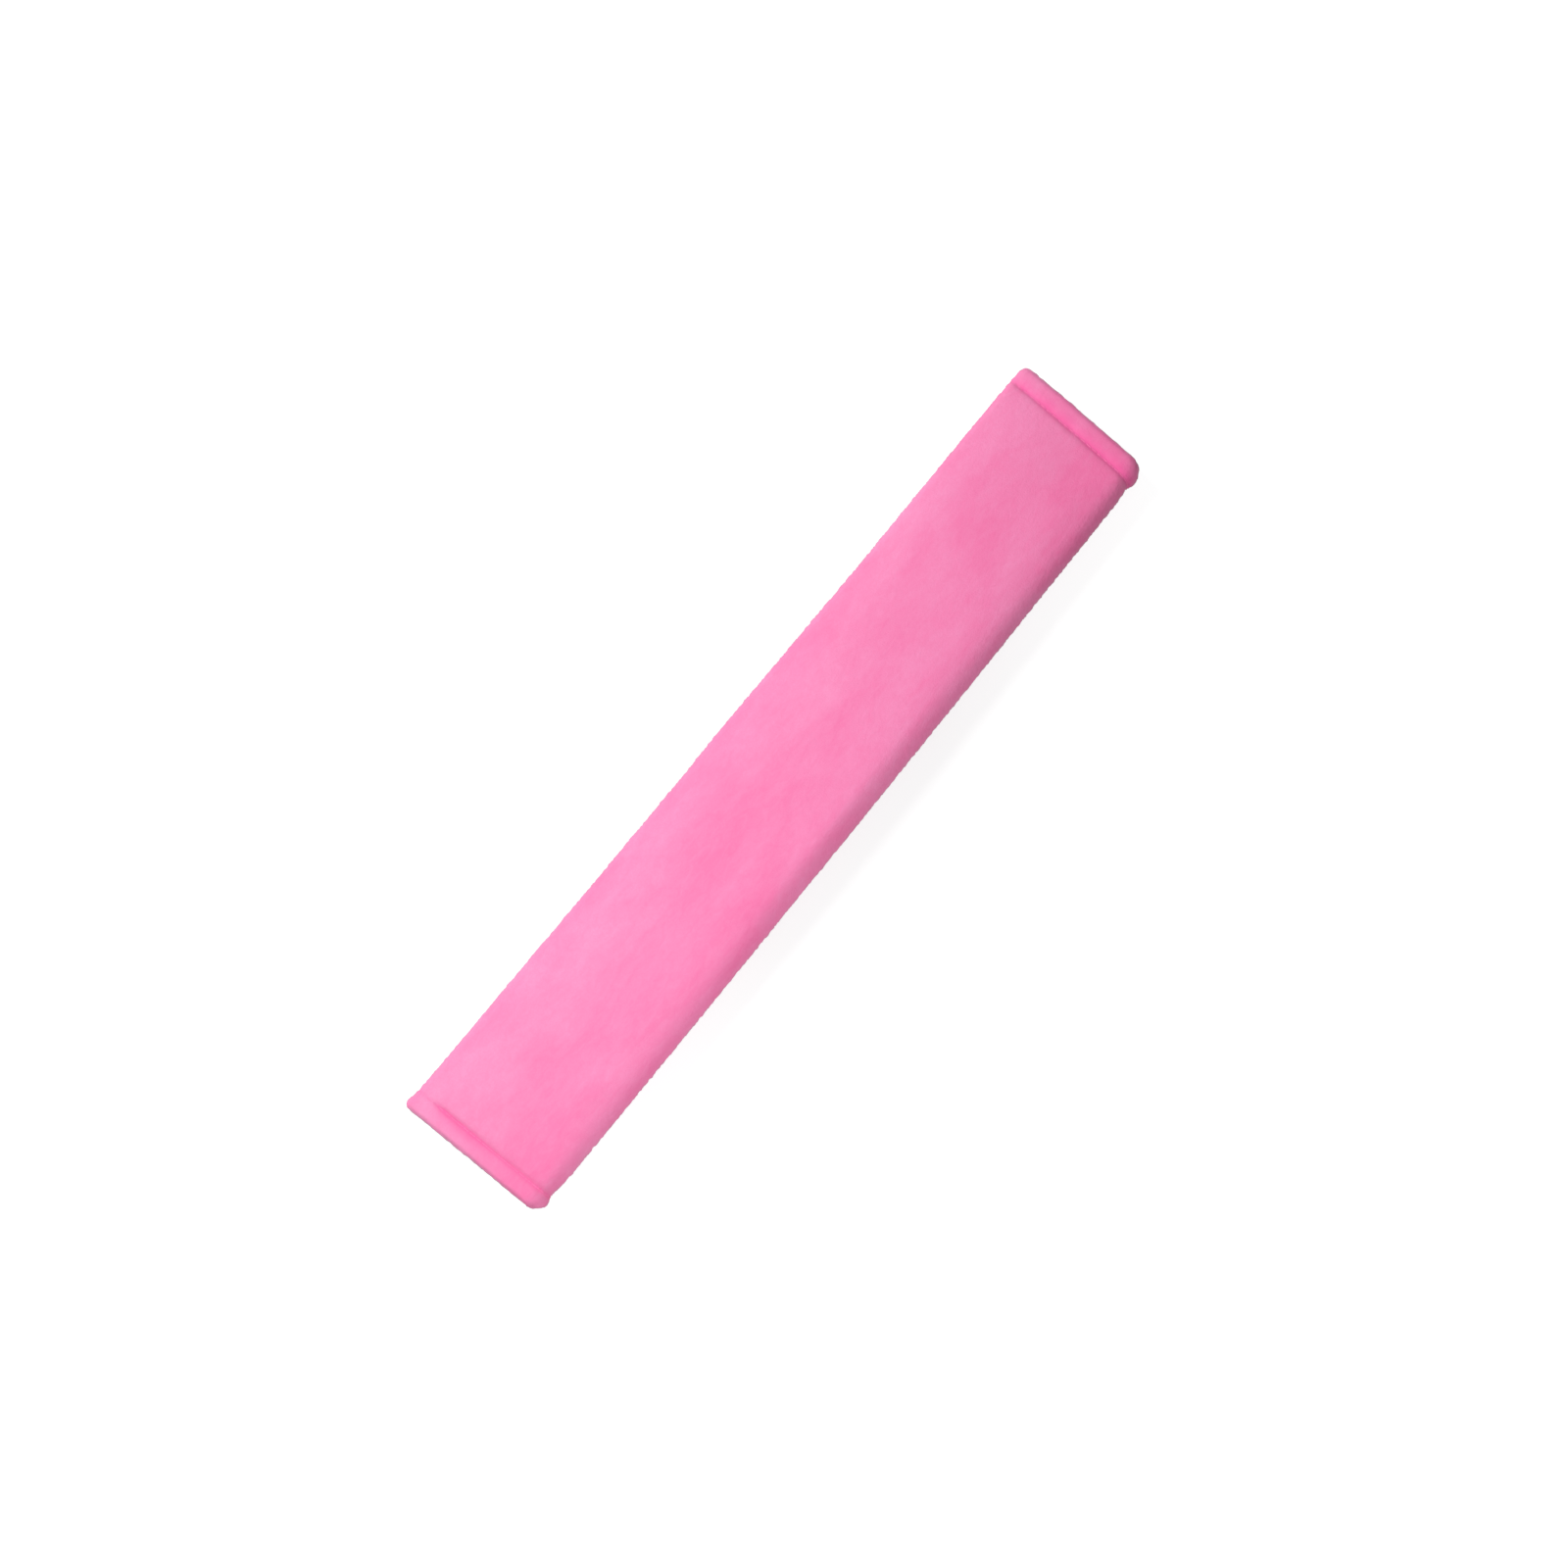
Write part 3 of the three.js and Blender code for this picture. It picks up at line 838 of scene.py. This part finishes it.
class Nodes:
    """The node tree of a new material or of the world, with short calls that make and join its nodes."""

    def __init__(self, name, world=None):
        self.material = world or bpy.data.materials.new(name)
        self.material.use_nodes = True
        self.tree = self.material.node_tree
        self.tree.nodes.clear()
        self.output = self.node("ShaderNodeOutputWorld" if world else "ShaderNodeOutputMaterial")
        self.where = None if world else self.node("ShaderNodeTexCoord").outputs["Object"]

    def node(self, kind, **settings):
        made = self.tree.nodes.new(kind)
        for key, value in settings.items():
            setattr(made, key, value)
        return made

    def put(self, value, socket):
        if isinstance(value, bpy.types.NodeSocket):
            self.tree.links.new(value, socket)
        elif value is not None:
            socket.default_value = value

    def mapped(self, scale=(1, 1, 1), turn=(0, 0, 0)):
        made = self.node("ShaderNodeMapping")
        self.put(self.where, made.inputs["Vector"])
        made.inputs["Scale"].default_value = scale
        made.inputs["Rotation"].default_value = turn
        return made.outputs["Vector"]

    def noise(self, scale, detail=2.0, rough=0.5, vector=None, distortion=0.0):
        made = self.node("ShaderNodeTexNoise")
        self.put(vector or self.where, made.inputs["Vector"])
        made.inputs["Scale"].default_value = scale
        made.inputs["Detail"].default_value = detail
        made.inputs["Roughness"].default_value = rough
        made.inputs["Distortion"].default_value = distortion
        return made.outputs["Fac"]

    def wave(self, scale, direction="X", distortion=0.0):
        made = self.node("ShaderNodeTexWave", bands_direction=direction)
        self.put(self.where, made.inputs["Vector"])
        made.inputs["Scale"].default_value = scale
        made.inputs["Distortion"].default_value = distortion
        return made.outputs["Fac"]

    def math(self, operation, a, b=None):
        made = self.node("ShaderNodeMath", operation=operation)
        self.put(a, made.inputs[0])
        self.put(b, made.inputs[1])
        return made.outputs[0]

    def sum(self, *values):
        total = values[0]
        for value in values[1:]:
            total = self.math("ADD", total, value)
        return total

    def span(self, value, low, high, to_low=0.0, to_high=1.0):
        made = self.node("ShaderNodeMapRange")
        for socket, given in zip(made.inputs, (value, low, high, to_low, to_high)):
            self.put(given, socket)
        return made.outputs[0]

    def mix(self, share, a, b):
        made = self.node("ShaderNodeMix", data_type="RGBA")
        self.put(share, made.inputs[0])
        self.put(a, made.inputs[6])
        self.put(b, made.inputs[7])
        return made.outputs[2]

    def relief(self, height, strength, distance, under=None):
        made = self.node("ShaderNodeBump")
        made.inputs["Strength"].default_value = strength
        made.inputs["Distance"].default_value = distance
        self.put(height, made.inputs["Height"])
        self.put(under, made.inputs["Normal"])
        return made.outputs["Normal"]

    def spot(self, place, amount):
        """A soft round patch: the amount in its middle and 0 from its reach outwards."""
        (x, y), reach = place
        made = self.node("ShaderNodeVectorMath", operation="DISTANCE")
        self.put(self.mapped(scale=(1, 1, 0)), made.inputs[0])
        made.inputs[1].default_value = (x, y, 0)
        return self.span(made.outputs["Value"], 0, reach, to_low=amount, to_high=0)

    def shown(self):
        """1 for a ray from the camera or a reflection, and 0 for light that falls on the part."""
        ray = self.node("ShaderNodeLightPath").outputs
        mirrored = self.math("MAXIMUM", ray["Is Glossy Ray"], ray["Is Transmission Ray"])
        return self.math("MAXIMUM", ray["Is Camera Ray"], mirrored)

    def finish(self, colour, roughness, normal, **plain):
        shader = self.node("ShaderNodeBsdfPrincipled")
        self.put(colour, shader.inputs["Base Color"])
        self.put(roughness, shader.inputs["Roughness"])
        self.put(normal, shader.inputs["Normal"])
        for key, value in plain.items():
            shader.inputs[key.replace("_", " ")].default_value = value
        self.tree.links.new(shader.outputs[0], self.output.inputs["Surface"])
        return self.material


def nap_and_painted_light(n, slanting):
    """How pale the pile looks, in patches and streaks. Painted light and shade as well: paler towards the lit
    closing edge and the -X end, darker towards the fold and the +X end.
    """
    place = n.node("ShaderNodeSeparateXYZ")
    n.put(n.where, place.inputs[0])
    # painted light and shade: paler towards the closing edge, which faces the key lamp, and darker towards
    # the fold, which faces away from it
    across = n.span(place.outputs["Y"], FOLD_Y, EDGE_Y, to_low=-0.16, to_high=0.19)
    # painted falloff of the light: darker towards the +X end, further from the lamps
    painted_falloff_lengthwise = n.span(place.outputs["X"], -HALF, HALF, to_low=0.05, to_high=-0.12)
    large = n.noise(scale=26, detail=2, rough=0.5, vector=slanting, distortion=0.4)
    patches = n.span(large, 0.3, 0.7, to_low=-0.22, to_high=0.22)
    small = n.noise(scale=170, detail=3, rough=0.6, vector=slanting, distortion=0.8)
    streaks = n.span(small, 0.3, 0.7, to_low=-0.14, to_high=0.14)
    brushed = n.sum(n.spot(BRUSHED_UP, 0.2), n.spot(BRUSHED_DOWN, -0.16))
    middle = 0.48
    return n.sum(across, painted_falloff_lengthwise, patches, streaks, brushed, middle)


def plush_material():
    """Short cut pile, pale where it stands up and deep where it is brushed down or pressed in, with painted
    light and shade over the pad and painted shade in the stitching's groove.
    """
    n = Nodes("plush")
    slanting = n.mapped(scale=(1, 2.4, 1), turn=(0, 0, 0.5))
    colour = n.mix(nap_and_painted_light(n, slanting), PINK_DEEP, PINK_PALE)
    grain = n.noise(scale=1300, detail=2, rough=0.6)
    colour = n.mix(n.span(grain, 0.35, 0.6, to_low=0.22, to_high=0), colour, PINK_DEEP)
    crease = n.node("ShaderNodeAttribute", attribute_name="crease").outputs["Fac"]
    # pressed pile, and painted shade in the stitching's groove
    colour = n.mix(n.span(crease, 0, 1, to_low=0, to_high=0.62), colour, PINK_PRESSED_AND_SHADED)
    lay = n.relief(n.noise(scale=420, detail=2, rough=0.6, vector=slanting), strength=0.25, distance=0.0006)
    pile = n.relief(n.noise(scale=1500, detail=2, rough=0.65), strength=0.35, distance=0.0003, under=lay)
    sheen = {"Sheen_Weight": 0.65, "Sheen_Roughness": 0.4, "Sheen_Tint": SHEEN_TINT}
    return n.finish(colour, roughness=0.95, normal=pile, Specular_IOR_Level=0.12, **sheen)


def foam_material():
    """Open-cell foam, with painted shade in the pits of its cells."""
    n = Nodes("foam")
    cells = n.node("ShaderNodeTexVoronoi")
    n.put(n.where, cells.inputs["Vector"])
    cells.inputs["Scale"].default_value = 1400
    depth = cells.outputs["Distance"]
    tone = n.mix(n.noise(scale=60, detail=2), FOAM_DULL, FOAM_PALE)
    # painted shade in the pits, where the relief is lowest
    colour = n.mix(n.span(depth, 0, 0.5, to_low=0.5, to_high=0), tone, FOAM_PIT_SHADE)
    normal = n.relief(depth, strength=0.6, distance=0.0003)
    return n.finish(colour, roughness=0.95, normal=normal, Specular_IOR_Level=0.2)


def lining_material():
    """A fine knit: courses across the pad and wales along it, with painted shade in the hollows between its
    loops.
    """
    n = Nodes("lining")
    wales = n.wave(900, "Y")
    courses = n.wave(700, "X", distortion=0.3)
    loops = n.math("MULTIPLY", wales, courses)
    tone = n.mix(n.span(n.noise(scale=90, detail=3), 0.35, 0.65), KNIT_DULL, KNIT_PALE)
    # painted shade in the hollows between the loops, where the relief is lowest
    colour = n.mix(n.span(loops, 0, 0.6, to_low=0.35, to_high=0), tone, KNIT_HOLLOW_SHADE)
    soft = n.relief(n.noise(scale=240, detail=2), strength=0.2, distance=0.0004)
    normal = n.relief(loops, strength=0.5, distance=0.00015, under=soft)
    return n.finish(colour, roughness=0.8, normal=normal, Sheen_Weight=0.15, Specular_IOR_Level=0.3)


def tape_material(name, field_scale, roughness):
    """A woven nylon tape: a fine weave on its selvedges, and its hooks or loops in a lighter tone. The
    weave's hollows have painted shade in the deep tone.
    """
    n = Nodes(name)
    weave = n.math("MULTIPLY", n.wave(1300, "X"), n.wave(1300, "Y"))
    fibres = n.noise(scale=field_scale, detail=3, rough=0.7)
    tone = n.mix(n.span(fibres, 0.35, 0.7), TAPE_DEEP, TAPE_PALE)
    # painted shade in the hollows of the weave, where the relief is lowest
    colour = n.mix(n.span(weave, 0, 0.5, to_low=0.3, to_high=0), tone, TAPE_DEEP)
    soft = n.relief(fibres, strength=0.5, distance=0.0003)
    normal = n.relief(weave, strength=0.4, distance=0.0001, under=soft)
    return n.finish(colour, roughness, normal, Specular_IOR_Level=0.35)


def thread_material(name, low, high):
    """Spun sewing thread: two tones that wind along it, the lower one painted shade in the grooves of the
    twist.
    """
    n = Nodes(name)
    twist = n.wave(2600, "DIAGONAL", distortion=0.5)
    # painted shade: the low tone lies in the twist's grooves, the high one on its ridges
    colour = n.mix(n.span(twist, 0.2, 0.8), low, high)
    normal = n.relief(twist, strength=0.5, distance=0.00008)
    return n.finish(colour, roughness=0.6, normal=normal, Specular_IOR_Level=0.4)


def floor_material():
    """White, with the shadow kept. Part of its white is its own, for the camera and for reflections only."""
    n = Nodes("floor")
    paint = n.node("ShaderNodeBsdfDiffuse")
    paint.inputs["Color"].default_value = FLOOR_GREY
    glow = n.node("ShaderNodeEmission")
    away = n.node("ShaderNodeVectorMath", operation="LENGTH")
    n.put(n.where, away.inputs[0])
    strength = n.span(away.outputs["Value"], 0.06, 0.30, to_low=0.76, to_high=0.95)
    n.put(n.math("MULTIPLY", n.shown(), strength), glow.inputs["Strength"])
    both = n.node("ShaderNodeAddShader")
    n.put(paint.outputs[0], both.inputs[0])
    n.put(glow.outputs[0], both.inputs[1])
    n.put(both.outputs[0], n.output.inputs["Surface"])
    return n.material


# The pieces


def dress(piece, material, slot, *nodes):
    """Gives a piece its material and its body, and hides the solids that it stands for. The slot is not used.
    """
    piece.data.materials.clear()
    piece.data.materials.append(material)
    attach(piece, "root")
    if nodes:
        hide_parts(*nodes)
    return piece


def build_padding():
    cover = dress(build_cover(), plush_material(), "plush", "plush_cover")
    foam = dress(build_foam(), foam_material(), "foam", "foam_padding")
    lining = dress(build_lining(), lining_material(), "lining", "inner_lining")
    lining_flat()


def build_tapes():
    hook = build_tape("hook_strip", HOOK_START, hook_field)
    dress(hook, tape_material("hooks", field_scale=900, roughness=0.5), "hook_tape", "hook_tape")
    loop = build_tape("loop_strip", LOOP_START, loop_field)
    dress(loop, tape_material("loops", field_scale=1500, roughness=0.9), "loop_tape", "loop_tape")


def build_threads():
    hem_rows = [hem_row(end, inside) for end in (-1, 1) for inside in (False, True)]
    hem_thread = build_thread("hem_thread", hem_rows, STITCH, HEM_THREAD_RADIUS)
    dress(hem_thread, thread_material("hem_thread", PINK_DEEP, PINK), "plush")
    insets = (TAPE_ROW_INSET, TAPE_WIDTH - TAPE_ROW_INSET)
    tape_rows = [tape_row(start + inset) for start in (HOOK_START, LOOP_START) for inset in insets]
    tape_thread = build_thread("tape_thread", tape_rows, TAPE_STITCH, TAPE_THREAD_RADIUS)
    dress(tape_thread, thread_material("tape_thread", TAPE_DEEP, TAPE_PALE), "lining")


# Stage, light and camera

FLOOR_HALF = 4.0
FLOOR_DROP = 0.15 * MM  # keeps the floor clear of the pad's underside
WORLD_LIGHT = 0.22
VIEW_TILT = math.radians(9.4)  # how far the camera leans back over the -X end
VIEW_TURN = math.radians(50.58)  # how far the pad's length is turned from level in the picture
VIEW_DISTANCE = 0.850
VIEW_TARGET = (-0.0056, -0.0002, TOP_Z)


def build_floor():
    corners = FLOOR_HALF * np.array([[-1, -1, 0], [1, -1, 0], [1, 1, 0], [-1, 1, 0]])
    floor = new_mesh("floor", corners - [0, 0, FLOOR_DROP], [[0, 1, 2, 3]], smooth=False)
    floor.data.materials.append(floor_material())


def area_lamp(name, place, size, watts):
    """A round lamp that faces the middle of the pad."""
    lamp = bpy.data.lights.new(name, "AREA")
    lamp.shape = "DISK"
    lamp.size = size
    lamp.energy = watts
    holder = bpy.data.objects.new(name, lamp)
    bpy.context.scene.collection.objects.link(holder)
    holder.location = place
    towards_pad = Vector((0, 0, 0)) - Vector(place)
    holder.rotation_euler = towards_pad.to_track_quat("-Z", "Y").to_euler()


def light_scene():
    world = bpy.data.worlds.new("studio")
    bpy.context.scene.world = world
    n = Nodes("studio", world)
    back = n.node("ShaderNodeBackground")
    back.inputs["Color"].default_value = WHITE
    n.put(n.span(n.shown(), 0, 1, to_low=WORLD_LIGHT, to_high=1), back.inputs["Strength"])
    n.put(back.outputs[0], n.output.inputs["Surface"])
    area_lamp("key", (-0.08, 0.77, 0.62), size=0.4, watts=9.0)
    area_lamp("fill", (-0.16, -0.29, 0.20), size=0.2, watts=0.6)
    area_lamp("overhead", (0, 0, 1.6), size=1.2, watts=2.0)


def place_camera():
    camera = bpy.data.cameras.new("camera")
    camera.lens = 50
    camera.sensor_width = 36
    holder = bpy.data.objects.new("camera", camera)
    bpy.context.scene.collection.objects.link(holder)
    back = np.array([-math.sin(VIEW_TILT), 0, math.cos(VIEW_TILT)])
    length = np.array([math.cos(VIEW_TILT), 0, math.sin(VIEW_TILT)])
    width = np.array([0.0, 1.0, 0.0])
    right = math.cos(VIEW_TURN) * length - math.sin(VIEW_TURN) * width
    up = math.sin(VIEW_TURN) * length + math.cos(VIEW_TURN) * width
    turned = Matrix([[right[k], up[k], back[k]] for k in range(3)]).to_4x4()
    turned.translation = (np.array(VIEW_TARGET) + back * VIEW_DISTANCE).tolist()
    holder.matrix_world = turned
    bpy.context.scene.camera = holder


build_padding()
build_tapes()
build_threads()
build_floor()
light_scene()
place_camera()
bpy.context.scene.view_settings.view_transform = "Standard"
